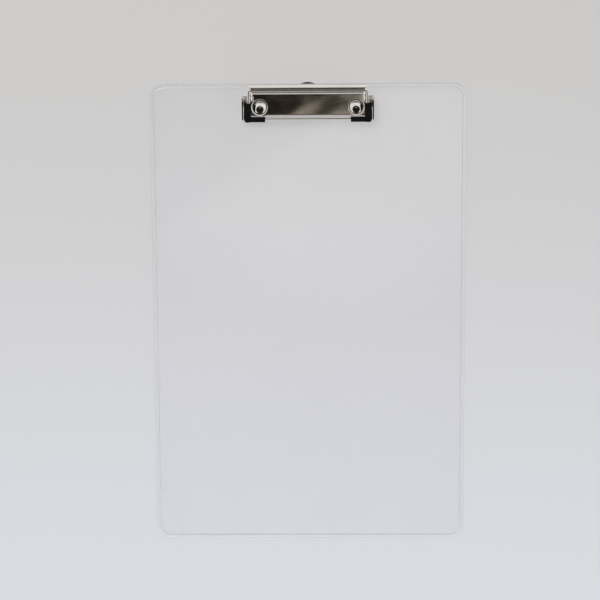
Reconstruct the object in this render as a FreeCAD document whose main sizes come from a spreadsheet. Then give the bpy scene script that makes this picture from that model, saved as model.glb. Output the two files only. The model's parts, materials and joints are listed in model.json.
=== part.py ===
"""Clipboard with a sprung wire lever clip, as a parametric FreeCAD document.

Frame: X across the board, +Y towards the clip, +Z out of the writing face.
The board lies on its rim at Z = 0. Sizes are in millimetres.

Clip pieces are drawn from one datum, the middle of the board's top edge on
the writing face: "down" sizes run from that edge towards the user, "rise"
sizes run out of the writing face.
"""

import math
import os

import FreeCAD, Part
import Sketcher
from FreeCAD import Placement, Rotation, Vector

os.makedirs("parts", exist_ok=True)
doc = FreeCAD.newDocument("clipboard")

# ---------------------------------------------------------------- sizes

SIZES = {
    # board
    "board_width": 230.0,
    "board_length": 340.0,
    "board_height": 3.4,        # over the rim
    "panel_thick": 2.4,         # inside the rim
    "rim_width": 2.6,
    "corner_radius": 10.0,
    "rim_round": 0.9,
    "rim_bevel": 0.5,
    # clip base plate
    "sheet": 0.9,
    "web_lift": 1.2,            # room under the web for the hanging tab
    "base_upper": 6.4,
    "base_lower": 23.2,
    "flange_face": 46.8,        # inner face of the side flanges
    "flange_upper": 8.7,
    "flange_lower": 26.8,
    "flange_rise": 7.6,
    "flange_low_rise": 4.8,
    "flange_slope_at": 15.5,
    "web_notch": 42.0,          # upper corners, beside the wire's arms
    "web_side": 41.1,           # lower corners, clear of the sleeves
    "web_low": 17.0,
    "outer_bend": 1.4,
    "inner_bend": 0.5,
    # rivets and their seats
    "rivet_offset": 35.0,
    "rivet_down": 17.0,
    "shank_radius": 2.0,
    "dome_radius": 4.8,
    "dome_rise": 1.6,
    "dome_edge": 0.25,
    "dome_shoulder": 3.6,       # the dome falls in bands: crown, shoulder, edge
    "shoulder_rise": 1.02,
    "dome_crown": 1.7,
    "seat_floor": 5.0,
    "seat_mouth": 6.1,
    "seat_lip": 6.9,
    "washer_radius": 4.5,
    "washer_thick": 0.45,
    "closed_radius": 3.1,
    "closed_thick": 0.4,
    # pivots
    "pivot_down": 10.9,
    "pivot_rise": 4.4,
    "pin_radius": 1.1,
    "pin_head": 1.9,
    "pin_head_thick": 0.6,
    # wire frame and its sleeves
    "wire_radius": 1.15,
    "wire_gap": 0.05,
    "top_run_down": 4.7,
    "bar_down": 25.0,
    "bar_rise": 2.55,
    "arm_upper": 42.6,          # the arms splay from the top run to the jaw
    "arm_lower": 43.4,
    "wire_bend": 1.6,
    "sleeve_offset": 43.75,
    "sleeve_radius": 2.2,
    "sleeve_drop": 0.7,
    "sleeve_upper": 13.9,
    "sleeve_inner": 31.0,
    # lever
    "lever_lean": 6.0,          # degrees, flap towards the board's top edge
    "flap_rise": 6.5,
    "flap_half": 42.4,
    "flare_angle": 50.0,        # degrees, the flap's tip bent back for the fingers
    "flare_bend": 1.5,
    "flare_length": 1.3,
    "trough_half": 41.0,
    "lip_rise": 0.7,
    "ear_radius": 2.0,
    "ear_hole": 1.15,
    # torsion springs
    "spring_wire": 0.33,
    "coil_radius": 1.9,
    "coil_pitch": 0.7,
    "coil_turns": 2.5,
    "coil_inner": 44.45,
    "web_leg": 4.0,
    "hook_down": 2.1,
    "hook_rise": 3.4,
    # hanging tab
    "tab_out": 1.3,
    "tab_half": 6.15,
    "tab_thick": 0.9,
    "tab_lift": 0.15,
    "tab_curve": 11.5,
    "shoulder_half": 9.0,
    "shoulder_upper": 17.8,
    "tab_lower": 22.0,
    "hang_hole": 3.0,
    "hang_edge": 5.0,
}


def derive(s):
    """Sizes that follow from the others, worked out once for the sheet."""
    reach = s["bar_down"] - s["pivot_down"]
    slope = 0.0
    for _ in range(20):
        over_pin = (s["pin_radius"] + s["wire_radius"] + s["wire_gap"]) / math.cos(slope)
        slope = math.atan((s["pivot_rise"] + over_pin - s["bar_rise"]) / reach)
    s["wire_slope"] = math.degrees(slope)
    s["top_run_rise"] = s["bar_rise"] + (s["bar_down"] - s["top_run_down"]) * math.tan(slope)
    s["frame_length"] = (s["bar_down"] - s["top_run_down"]) / math.cos(slope)
    # where the wire's bends start and end: on the bar, on the arms, on the top run
    splay = math.atan((s["arm_lower"] - s["arm_upper"]) / s["frame_length"])
    s["wire_splay"] = math.degrees(splay)
    low = s["wire_bend"] * math.tan(math.pi / 4 + splay / 2)
    high = s["wire_bend"] * math.tan(math.pi / 4 - splay / 2)
    s["bar_end"], s["run_end"] = s["arm_lower"] - low, s["arm_upper"] - high
    s["arm_low_x"], s["arm_low_y"] = s["arm_lower"] - low * math.sin(splay), s["frame_length"] - low * math.cos(splay)
    s["arm_high_x"], s["arm_high_y"] = s["arm_upper"] + high * math.sin(splay), high * math.cos(splay)
    s["sleeve_start"] = (s["sleeve_upper"] - s["top_run_down"]) / math.cos(slope)
    s["trough_inner"] = s["wire_radius"] + s["wire_gap"]
    s["trough_outer"] = s["trough_inner"] + s["sheet"]
    # the pivot seen from the wire's top run, turned with the lever's flap
    lean = math.radians(s["lever_lean"])
    dy = s["top_run_down"] - s["pivot_down"]
    dz = s["pivot_rise"] - s["top_run_rise"]
    s["ear_back"] = -(dy * math.cos(lean) - dz * math.sin(lean))
    s["ear_drop"] = -(dy * math.sin(lean) + dz * math.cos(lean))
    away = math.hypot(s["ear_back"], s["ear_drop"])
    s["ear_side"] = s["ear_radius"] * s["ear_drop"] / away
    s["ear_up"] = s["ear_radius"] * s["ear_back"] / away
    # the flap's flare: the bend's middle is behind the flap
    flare = math.radians(s["flare_angle"])
    s["flare_front"] = s["flare_bend"] + s["sheet"]
    for name, radius in (("front", s["flare_front"]), ("back", s["flare_bend"])):
        s[f"{name}_bend_y"] = s["trough_outer"] + s["flare_bend"] - radius * math.cos(flare)
        s[f"{name}_bend_z"] = s["flap_rise"] + radius * math.sin(flare)
        s[f"{name}_tip_y"] = s[f"{name}_bend_y"] + s["flare_length"] * math.sin(flare)
        s[f"{name}_tip_z"] = s[f"{name}_bend_z"] + s["flare_length"] * math.cos(flare)
    curve = s["tab_curve"]
    s["tip_sag"] = curve - math.sqrt(curve**2 - s["tab_half"] ** 2)


derive(SIZES)
sheet = doc.addObject("Spreadsheet::Sheet", "Sizes")
for row, (alias, size) in enumerate(SIZES.items(), start=1):
    sheet.set(f"A{row}", alias)
    sheet.set(f"B{row}", f"{size:.12f}")
    sheet.setAlias(f"B{row}", alias)
doc.recompute()


def terms(text):
    """Split "a + b * 2 - c" into (sign, [(operator, word), ...]) terms."""
    found, sign, term, operator = [], 1.0, [], "*"
    for word in text.split():
        if word in "+-":
            if term:
                found.append((sign, term))
            sign, term, operator = (1.0 if word == "+" else -1.0), [], "*"
        elif word in "*/":
            operator = word
        else:
            term.append((operator, word))
    found.append((sign, term))
    return found


def number(text):
    """The value of a sum of aliases and plain numbers."""
    total = 0.0
    for sign, term in terms(text):
        product = sign
        for operator, word in term:
            size = SIZES[word] if word in SIZES else float(word)
            product = product * size if operator == "*" else product / size
        total += product
    return total


def expression(text):
    """The same sum as an expression on the sheet's cells."""
    return " ".join(f"Sizes.{word}" if word in SIZES else word for word in text.split())


def minus(text):
    """The same sum with every sign turned round."""
    swapped = {"+": "-", "-": "+"}
    return "0 - " + " ".join(swapped.get(word, word) for word in text.split())


def bind(item, **sizes):
    """Bind properties of an object to sums of the sheet's sizes."""
    for name, text in sizes.items():
        item.setExpression(name, expression(text))
    return item


def place(item, across="0", up="0", out="0", turn=None, axis=(1, 0, 0)):
    """Put an object at (across, up, out), turned about an axis by a size in degrees."""
    angle = number(turn) if turn else 0.0
    spot = Vector(number(across), number(up), number(out))
    item.Placement = Placement(spot, Rotation(Vector(*axis), angle))
    for name, text in (("x", across), ("y", up), ("z", out)):
        item.setExpression(f".Placement.Base.{name}", expression(text))
    return item


# the clip's datum: the middle of the top edge, on the writing face
TOP = "board_length / 2 - tab_out / 2"
FACE = "board_height"

# ---------------------------------------------------------------- helpers


def new_body(label):
    body = doc.addObject("PartDesign::Body", label)
    body.Label = label
    return body


def plane_of(body, role):
    return next(f for f in body.Origin.OriginFeatures if f.Role == role)


def new_sketch(body, role, name, shift=(0, 0, 0)):
    """A sketch on one of the body's origin planes; shift is in the sketch's own axes."""
    sketch = body.newObject("Sketcher::SketchObject", name)
    sketch.AttachmentSupport = [(plane_of(body, role), "")]
    sketch.MapMode = "FlatFace"
    sketch.AttachmentOffset = Placement(Vector(*(number(s) if isinstance(s, str) else s for s in shift)), Rotation())
    for axis, size in zip("xyz", shift):
        if isinstance(size, str):
            sketch.setExpression(f".AttachmentOffset.Base.{axis}", expression(size))
    return sketch


def pin_down(sketch, piece, end, across, up):
    """Hold one point of a sketch by its two distances from the sketch's origin."""
    for kind, text in (("DistanceX", across), ("DistanceY", up)):
        index = sketch.addConstraint(Sketcher.Constraint(kind, -1, 1, piece, end, number(text)))
        sketch.setExpression(f"Constraints[{index}]", expression(text))


def outline(sketch, corners, arcs=None):
    """A closed outline through corners, each a pair of sums.

    arcs maps the index of the corner where an arc starts to its radius; a
    leading minus sign makes the arc turn clockwise.
    """
    arcs = arcs or {}
    points = [Vector(number(a), number(b), 0) for a, b in corners]
    ends = []
    for i, start in enumerate(points):
        stop = points[(i + 1) % len(points)]
        if i in arcs:
            clockwise = arcs[i].startswith("-")
            radius_text = arcs[i].lstrip("-")
            radius = number(radius_text)
            a, b = (stop, start) if clockwise else (start, stop)
            half = (b - a) * 0.5
            rise = math.sqrt(max(radius**2 - half.Length**2, 0.0))
            side = Vector(-half.y, half.x, 0).normalize()
            centre = a + half + side * rise
            first = math.atan2(a.y - centre.y, a.x - centre.x)
            last = math.atan2(b.y - centre.y, b.x - centre.x)
            circle = Part.Circle(centre, Vector(0, 0, 1), radius)
            piece = sketch.addGeometry(Part.ArcOfCircle(circle, first, last))
            index = sketch.addConstraint(Sketcher.Constraint("Radius", piece, radius))
            sketch.setExpression(f"Constraints[{index}]", expression(radius_text))
            ends.append((piece, 2, 1) if clockwise else (piece, 1, 2))
        else:
            piece = sketch.addGeometry(Part.LineSegment(start, stop))
            ends.append((piece, 1, 2))
    for i, (piece, start, _) in enumerate(ends):
        before, _, stop = ends[i - 1]
        sketch.addConstraint(Sketcher.Constraint("Coincident", before, stop, piece, start))
    for (piece, start, _), (across, up) in zip(ends, corners):
        pin_down(sketch, piece, start, across, up)
    return sketch


def flats(sketch, across, up, radius, count):
    """A regular polygon inside a circle: the section of a wire whose bends stay light."""
    turns = [math.tau * (i + 0.5) / count for i in range(count)]
    return outline(sketch, [(f"{across} + {radius} * {math.cos(a):.6f}", f"{up} + {radius} * {math.sin(a):.6f}")
                            for a in turns])


def ring(sketch, across, up, radius):
    """A circle in a sketch."""
    centre = Vector(number(across), number(up), 0)
    piece = sketch.addGeometry(Part.Circle(centre, Vector(0, 0, 1), number(radius)))
    index = sketch.addConstraint(Sketcher.Constraint("Radius", piece, number(radius)))
    sketch.setExpression(f"Constraints[{index}]", expression(radius))
    pin_down(sketch, piece, 3, across, up)
    return sketch


def rounded_box(sketch, half_width, low, high, radius):
    """A rectangle with rounded corners, symmetric about the sketch's upright axis."""
    x0, x1, back = minus(half_width), half_width, minus(radius)
    corners = [
        (f"{x0} + {radius}", low), (f"{x1} + {back}", low),
        (x1, f"{low} + {radius}"), (x1, f"{high} + {back}"),
        (f"{x1} + {back}", high), (f"{x0} + {radius}", high),
        (x0, f"{high} + {back}"), (x0, f"{low} + {radius}"),
    ]
    return outline(sketch, corners, {1: radius, 3: radius, 5: radius, 7: radius})


def pad(body, sketch, length, both=False, down=False):
    item = body.newObject("PartDesign::Pad", f"{sketch.Name}_pad")
    item.Profile = sketch
    item.Reversed = down
    if both:
        item.Midplane = True
    bind(item, Length=length)
    sketch.Visibility = False
    doc.recompute()
    return item


def pocket(body, sketch, length, both=False, reverse=False):
    """Cut a sketch out of the body, and make sure that it took something away."""
    before = body.Shape.Volume
    item = body.newObject("PartDesign::Pocket", f"{sketch.Name}_cut")
    item.Profile = sketch
    item.Reversed = reverse
    if both:
        item.Midplane = True
    bind(item, Length=length)
    doc.recompute()
    if not body.Shape.Volume < before - 1e-6:
        raise RuntimeError(f"{item.Name} cuts nothing")
    return item


def revolve(body, sketch):
    """Turn a sketch once round its upright axis."""
    item = body.newObject("PartDesign::Revolution", f"{sketch.Name}_turned")
    item.Profile = sketch
    item.ReferenceAxis = (sketch, ["V_Axis"])
    item.Angle = 360
    doc.recompute()
    return item


def round_edges(body, radius, chosen, bevel=False):
    """Fillet, or bevel, the edges of the body's solid that the test picks."""
    base = body.Tip
    names = [f"Edge{i}" for i, e in enumerate(base.Shape.Edges, start=1) if chosen(e)]
    if not names:
        raise RuntimeError(f"no edge of {body.Label} to round")
    kind = "Chamfer" if bevel else "Fillet"
    item = body.newObject(f"PartDesign::{kind}", f"{body.Name}_{kind.lower()}{len(body.Group)}")
    item.Base = (base, names)
    bind(item, **{"Size" if bevel else "Radius": radius})
    doc.recompute()
    if not item.Shape.isValid() or "Invalid" in item.State:
        raise RuntimeError(f"{item.Name} failed")
    return item


def straight_along(edge, axis):
    """Whether an edge is a straight line along an axis, 0 for X, 1 for Y, 2 for Z."""
    if not isinstance(edge.Curve, (Part.Line, Part.LineSegment)):
        return False
    way = edge.lastVertex().Point - edge.firstVertex().Point
    return abs(abs(way[axis]) - way.Length) < 1e-6


def all_at(edge, **where):
    """Whether an edge's box is flat at a coordinate, such as z=3.4."""
    box = edge.BoundBox
    for axis, at in where.items():
        low, high = getattr(box, f"{axis.upper()}Min"), getattr(box, f"{axis.upper()}Max")
        if abs(low - at) > 1e-4 or abs(high - at) > 1e-4:
            return False
    return True


pieces = []


def keep(item, label=None):
    """Count an object among the pieces that are written out."""
    if label:
        item.Label = label
    pieces.append(item)
    return item


# ---------------------------------------------------------------- board

board = new_body("board")
pad(board, rounded_box(new_sketch(board, "XY_Plane", "board_outline"),
                       "board_width / 2", "0 - board_length / 2", "board_length / 2", "corner_radius"),
    "board_height")
pocket(board, rounded_box(new_sketch(board, "XY_Plane", "board_recess"),
                          "board_width / 2 - rim_width", "rim_width - board_length / 2",
                          "board_length / 2 - rim_width", "corner_radius - rim_width"),
       "board_height - panel_thick", reverse=True)
holes = new_sketch(board, "XY_Plane", "rivet_holes")
for across in ("0 - rivet_offset", "rivet_offset"):
    ring(holes, across, "board_length / 2 - rivet_down", "shank_radius + 0.02")
pocket(board, holes, "board_height * 3", both=True)
half_w, half_l = number("board_width / 2"), number("board_length / 2")


def on_outside(edge, level):
    box = edge.BoundBox
    outer_x = max(abs(box.XMin), abs(box.XMax)) > half_w - 0.01
    outer_y = max(abs(box.YMin), abs(box.YMax)) > half_l - 0.01
    return (outer_x or outer_y) and all_at(edge, z=level)


round_edges(board, "rim_round", lambda e: on_outside(e, number("board_height")))
round_edges(board, "rim_bevel", lambda e: on_outside(e, 0.0), bevel=True)
place(board, up="0 - tab_out / 2")
keep(board)

# ---------------------------------------------------------------- clip base plate

base = new_body("clip_base_plate")
web_top = "web_lift + sheet"
full_half = "flange_face + sheet"
# a hat section across the board: a raised web with a skirt down to the board along each edge
pad(base, outline(new_sketch(base, "YZ_Plane", "hat"), [
    ("0 - base_lower", "0"), ("sheet - base_lower", "0"), ("sheet - base_lower", "web_lift"),
    ("0 - base_upper - sheet", "web_lift"), ("0 - base_upper - sheet", "0"), ("0 - base_upper", "0"),
    ("0 - base_upper", web_top), ("0 - base_lower", web_top)]),
    "flange_face * 2 + sheet * 2", both=True)
round_edges(base, "outer_bend", lambda e: straight_along(e, 0) and all_at(e, z=number(web_top))
            and (all_at(e, y=-number("base_upper")) or all_at(e, y=-number("base_lower"))))
round_edges(base, "inner_bend", lambda e: straight_along(e, 0) and all_at(e, z=number("web_lift")))
# the web's upper corners are cut back beside the wire's arms
for side, x0, x1 in (("left", "0 - flange_face - 2", "0 - web_notch"), ("right", "web_notch", "flange_face + 2")):
    pocket(base, outline(new_sketch(base, "XY_Plane", f"corner_{side}"), [
        (x0, "0 - flange_upper"), (x1, "0 - flange_upper"), (x1, "0"), (x0, "0")]),
        "10", both=True)
# flanges
for side, shift in (("left", "0 - flange_face - sheet"), ("right", "flange_face")):
    pad(base, outline(new_sketch(base, "YZ_Plane", f"flange_{side}", (0, 0, shift)), [
        ("0 - flange_lower", "web_lift"), ("0 - flange_upper", "web_lift"),
        ("0 - flange_upper", "flange_rise"), ("0 - flange_slope_at", "flange_rise"),
        ("0 - flange_lower", "flange_low_rise")]),
        "sheet")


def flange_corner(edge):
    box = edge.BoundBox
    on_flange = min(abs(box.XMin), abs(box.XMax)) > number("flange_face") - 0.01
    y = -(box.YMin + box.YMax) / 2
    ends = abs(y - number("flange_upper")) < 0.01 or abs(y - number("flange_lower")) < 0.01
    high = box.ZMin > number(web_top) + 0.5
    return straight_along(edge, 0) and on_flange and ends and high


round_edges(base, "inner_bend * 3", flange_corner)
# rivet seats, pressed down to the board
for side, across in (("left", "0 - rivet_offset"), ("right", "rivet_offset")):
    pocket(base, ring(new_sketch(base, "XY_Plane", f"seat_{side}"), across, "0 - rivet_down", "seat_mouth + 0.4"),
           "10", both=True)
    dish = outline(new_sketch(base, "XZ_Plane", f"dish_{side}", (across, 0, "rivet_down")), [
        ("shank_radius + 0.02", "0"), ("seat_floor + 0.5", "0"), ("seat_mouth + 0.5", "web_lift"),
        ("seat_lip", "web_lift"), ("seat_lip", web_top), ("seat_mouth", web_top),
        ("seat_floor", "sheet"), ("shank_radius + 0.02", "sheet")])
    revolve(base, dish)
# the seats run into the lower edge, and the web's lower corners leave room for the sleeves
pocket(base, outline(new_sketch(base, "XY_Plane", "lower_edge"), [
    ("0 - flange_face", "0 - web_low"), ("0 - web_side", "0 - web_low"), ("0 - web_side", "0 - base_lower"),
    ("web_side", "0 - base_lower"), ("web_side", "0 - web_low"), ("flange_face", "0 - web_low"),
    ("flange_face", "0 - base_lower - 5"), ("0 - flange_face", "0 - base_lower - 5")]), "10", both=True)
# slot in the upper skirt for the hanging tab
pocket(base, outline(new_sketch(base, "XZ_Plane", "tab_slot"), [
    ("0 - tab_half - 0.3", "-1"), ("tab_half + 0.3", "-1"),
    ("tab_half + 0.3", "web_lift - 0.05"), ("0 - tab_half - 0.3", "web_lift - 0.05")]),
    "base_upper * 2 + sheet * 2 + 0.8", both=True)
# pivot holes through the flanges
pocket(base, ring(new_sketch(base, "YZ_Plane", "pivot_holes"), "0 - pivot_down", "pivot_rise", "pin_radius + 0.02"),
       "flange_face * 3", both=True)
place(base, up=TOP, out=FACE)
keep(base)

# ---------------------------------------------------------------- rivets, washers, pivot pins

for side, across in (("left", "0 - rivet_offset"), ("right", "rivet_offset")):
    rivet = new_body(f"rivet_{side}")
    under = "0 - panel_thick - washer_thick"
    revolve(rivet, outline(new_sketch(rivet, "XZ_Plane", f"rivet_{side}_half"), [
        ("0", f"{under} - closed_thick"), ("closed_radius - 0.3", f"{under} - closed_thick"),
        ("closed_radius", under), ("shank_radius", under), ("shank_radius", "sheet"),
        ("dome_radius", "sheet"), ("dome_radius", "sheet + dome_edge"), ("dome_shoulder", "sheet + shoulder_rise"),
        ("dome_crown", "sheet + dome_rise"), ("0", "sheet + dome_rise")]))
    place(rivet, across, f"{TOP} - rivet_down", FACE)
    keep(rivet)

    washer = new_body(f"rivet_washer_{side}")
    band = new_sketch(washer, "XY_Plane", f"washer_{side}_ring")
    ring(band, "0", "0", "washer_radius")
    ring(band, "0", "0", "shank_radius + 0.05")
    pad(washer, band, "washer_thick")
    place(washer, across, f"{TOP} - rivet_down", f"{FACE} - panel_thick - washer_thick")
    keep(washer)

    # the pin stands on the flange's outer face and points inwards
    pin = new_body(f"pivot_pin_{side}")
    revolve(pin, outline(new_sketch(pin, "XZ_Plane", f"pin_{side}_half"), [
        ("0", "0"), ("pin_radius", "0"), ("pin_radius", f"{full_half} - trough_half + sheet + 0.1"),
        ("pin_head", f"{full_half} - trough_half + sheet + 0.1"),
        ("pin_head", f"{full_half} - trough_half + sheet + 0.1 + pin_head_thick"),
        ("0", f"{full_half} - trough_half + sheet + 0.1 + pin_head_thick")]))
    edge_at = "0 - flange_face - sheet" if side == "left" else full_half
    place(pin, edge_at, f"{TOP} - pivot_down", f"{FACE} + pivot_rise")
    pin.Placement = Placement(pin.Placement.Base, Rotation(Vector(0, 1, 0), 90 if side == "left" else -90))
    keep(pin)

# ---------------------------------------------------------------- wire frame and rubber sleeves


def wire_body(label, radius):
    """A closed wire frame, wider at the jaw, swept with a section of twelve flats."""
    body = new_body(label)
    right = [("bar_end", "0 - frame_length"), ("arm_low_x", "0 - arm_low_y"),
             ("arm_high_x", "0 - arm_high_y"), ("run_end", "0")]
    left = [(f"0 - {across}", down) for across, down in reversed(right)]
    path = outline(new_sketch(body, "XY_Plane", f"{label}_path"), left[-1:] + right + left[:-1],
                   dict.fromkeys((1, 3, 5, 7), "wire_bend"))
    section = new_sketch(body, "YZ_Plane", f"{label}_section")
    flats(section, "0 - frame_length", "0", radius, 12)
    doc.recompute()
    sweep = body.newObject("PartDesign::AdditivePipe", f"{label}_sweep")
    sweep.Profile = section
    sweep.Spine = (path, [f"Edge{i}" for i in range(1, 9)])
    doc.recompute()
    return body


def on_wire(item):
    """Stand an object on the wire's top run, sloping with the frame."""
    return place(item, up=f"{TOP} - top_run_down", out=f"{FACE} + top_run_rise", turn="wire_slope")


keep(on_wire(wire_body("jaw_wire", "wire_radius")))
channel = wire_body("sleeve_channel", "trough_inner")

for side, sign in (("left", -1), ("right", 1)):
    out_x = "0 - sleeve_offset" if sign < 0 else "sleeve_offset"
    heel_y = "0 - frame_length - sleeve_drop"
    leg = doc.addObject("Part::Cylinder", f"sleeve_leg_{side}")
    bind(leg, Radius="sleeve_radius", Height="frame_length + sleeve_drop - sleeve_start")
    foot = doc.addObject("Part::Cylinder", f"sleeve_foot_{side}")
    bind(foot, Radius="sleeve_radius", Height="sleeve_offset - sleeve_inner")
    heel = doc.addObject("Part::Sphere", f"sleeve_heel_{side}")
    bind(heel, Radius="sleeve_radius")
    along_arm = Rotation(Vector(0, 0, 1), sign * number("wire_splay")) * Rotation(Vector(1, 0, 0), -90)
    for item, turn in ((leg, along_arm), (foot, Rotation(Vector(0, 1, 0), -90 * sign)), (heel, Rotation())):
        place(item, out_x, heel_y, "0")
        item.Placement = Placement(item.Placement.Base, turn)
    boot = doc.addObject("Part::MultiFuse", f"sleeve_solid_{side}")
    boot.Shapes = [leg, foot, heel]
    sleeve = doc.addObject("Part::Cut", f"corner_sleeve_{side}")
    sleeve.Base = boot
    sleeve.Tool = channel
    doc.recompute()
    keep(on_wire(sleeve))

# ---------------------------------------------------------------- lever plate

lever = new_body("lever_plate")
# flap with its flare, trough round the wire and lip, as one bent sheet
pad(lever, outline(new_sketch(lever, "YZ_Plane", "lever_section"), [
    ("front_tip_y", "front_tip_z"), ("front_bend_y", "front_bend_z"), ("trough_inner", "flap_rise"),
    ("trough_inner", "0"), ("0", "0 - trough_inner"), ("0 - trough_inner", "0"),
    ("0 - trough_inner", "lip_rise"), ("0 - trough_outer", "lip_rise"),
    ("0 - trough_outer", "0"), ("0", "0 - trough_outer"), ("trough_outer", "0"),
    ("trough_outer", "flap_rise"), ("back_bend_y", "back_bend_z"), ("back_tip_y", "back_tip_z")],
    {1: "flare_front", 3: "-trough_inner", 4: "-trough_inner", 8: "trough_outer", 9: "trough_outer",
     11: "-flare_bend"}),
    "flap_half * 2", both=True)
for side, x0, x1 in (("left", "0 - flap_half - 1", "0 - trough_half"), ("right", "trough_half", "flap_half + 1")):
    pocket(lever, outline(new_sketch(lever, "XZ_Plane", f"trough_end_{side}"), [
        (x0, "-5"), (x1, "-5"), (x1, "lip_rise + 0.8"), (x0, "lip_rise + 0.8")]),
        "10", both=True)


def flap_corner(edge):
    ends = [v.Point for v in edge.Vertexes]
    rise = ends[0].z - ends[-1].z
    return min(v.z for v in ends) > number("flap_rise + 1") and abs(rise) > 0.3 and abs(ends[0].x - ends[-1].x) < 1e-6 \
        and abs((ends[0] - ends[-1]).Length - number("sheet")) < 1e-3 and max(v.y for v in ends) > number("front_tip_y + 0.1")


round_edges(lever, "flare_length * 0.9", flap_corner)
# ears down to the pivots
for side, shift in (("left", "0 - trough_half"), ("right", "trough_half - sheet")):
    pad(lever, outline(new_sketch(lever, "YZ_Plane", f"ear_{side}", (0, 0, shift)), [
        ("0 - trough_outer + 0.05", "0.3"), ("0 - ear_back - ear_side", "ear_up - ear_drop"),
        ("ear_side - ear_back", "0 - ear_drop - ear_up"), ("1.5", "-1.2")]),
        "sheet")
    pad(lever, ring(new_sketch(lever, "YZ_Plane", f"boss_{side}", (0, 0, shift)),
                    "0 - ear_back", "0 - ear_drop", "ear_radius"), "sheet")
pocket(lever, ring(new_sketch(lever, "YZ_Plane", "wire_way"), "0", "0", "trough_inner"),
       "trough_half * 2 + 2", both=True)
pocket(lever, ring(new_sketch(lever, "YZ_Plane", "ear_holes"), "0 - ear_back", "0 - ear_drop", "ear_hole"),
       "trough_half * 2 + 2", both=True)
place(lever, up=f"{TOP} - top_run_down", out=f"{FACE} + top_run_rise", turn="0 - lever_lean")
keep(lever)

# ---------------------------------------------------------------- torsion springs


def torsion_spring():
    """The right-hand spring about the pivot's axis.

    A coil with one leg along the web and one hooked over the wire's arm, so
    that the arm is pushed towards the board.
    """
    run = number("coil_pitch * coil_turns")
    coil = Part.makeHelix(number("coil_pitch"), run, number("coil_radius"))
    coil.Placement = Placement(Vector(number("coil_inner") + run, 0, 0), Rotation(Vector(0, 1, 0), -90))
    coil = coil.mirror(Vector(0, 0, 0), Vector(0, 0, 1)).Edges[0]
    outer, inner = coil.valueAt(coil.FirstParameter), coil.valueAt(coil.LastParameter)
    web_end = outer - coil.tangentAt(coil.FirstParameter) * number("web_leg")
    leave = inner + coil.tangentAt(coil.LastParameter) * number("spring_wire * 2")
    knee = Vector(inner.x - 0.1, -number("hook_down"), number("hook_rise"))
    tip = Vector(number("arm_upper - 0.3"), knee.y, knee.z)
    legs = [Part.makeLine(a, b) for a, b in ((web_end, outer), (inner, leave), (leave, knee), (knee, tip))]
    # six flats round the wire, square to the first leg
    forward = (outer - web_end).normalize()
    aside = forward.cross(Vector(1, 0, 0)).normalize()
    over = forward.cross(aside)
    radius = number("spring_wire")
    turns = [math.tau * (i + 0.5) / 6 for i in range(6)]
    corners = [web_end + aside * (radius * math.cos(a)) + over * (radius * math.sin(a)) for a in turns]
    section = Part.makePolygon(corners + corners[:1])
    return Part.Wire([legs[0], coil] + legs[1:]).makePipeShell([section], True, False, 1)


doc.recompute()
spring_shape = torsion_spring()
for side in ("left", "right"):
    spring = doc.addObject("Part::Feature", f"torsion_spring_{side}")
    spring.Shape = spring_shape.mirror(Vector(0, 0, 0), Vector(1, 0, 0)) if side == "left" else spring_shape
    place(spring, up=f"{TOP} - pivot_down", out=f"{FACE} + pivot_rise")
    keep(spring)

# ---------------------------------------------------------------- hanging tab

tab = new_body("hanging_tab")
pad(tab, outline(new_sketch(tab, "XY_Plane", "tab_outline"), [
    ("tab_half", "tab_out - tip_sag"), ("0 - tab_half", "tab_out - tip_sag"),
    ("0 - tab_half", "0 - shoulder_upper"), ("0 - shoulder_half", "0 - shoulder_upper"),
    ("0 - shoulder_half", "0 - tab_lower"), ("shoulder_half", "0 - tab_lower"),
    ("shoulder_half", "0 - shoulder_upper"), ("tab_half", "0 - shoulder_upper")],
    {0: "tab_curve"}), "tab_thick")
pocket(tab, ring(new_sketch(tab, "XY_Plane", "hanging_hole"), "0", "tab_out - hang_edge", "hang_hole"),
       "tab_thick * 3", both=True)
place(tab, up=TOP, out=f"{FACE} + tab_lift")
keep(tab)

# ---------------------------------------------------------------- checks and files

doc.recompute()
failed = [f"{item.Name}: {item.State}" for item in doc.Objects if "Invalid" in item.State or "Error" in item.State]
failed += [f"{item.Label}: no valid solid" for item in pieces if item.Shape.isNull() or not item.Shape.isValid()]
if failed:
    raise RuntimeError("; ".join(failed))
for item in pieces:
    item.Shape.exportStep(f"parts/{item.Label}.step")
    box = item.Shape.BoundBox
    print(f"{item.Label:22s} {item.Shape.Volume:10.2f} mm3 solids {len(item.Shape.Solids)}"
          f" x {box.XMin:.2f}..{box.XMax:.2f} y {box.YMin:.2f}..{box.YMax:.2f} z {box.ZMin:.2f}..{box.ZMax:.2f}")
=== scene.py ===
"""Dresses a clear clipboard with a plated wire lever clip.

Metres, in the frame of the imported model: X across the board, +Y towards the
clip, +Z out of the writing face, the rim on Z = 0.
"""

import json
import math

import bmesh
import bpy
import numpy as np
from bpy.props import FloatProperty, FloatVectorProperty, IntProperty, PointerProperty
from mathutils import Matrix, Vector


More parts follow.
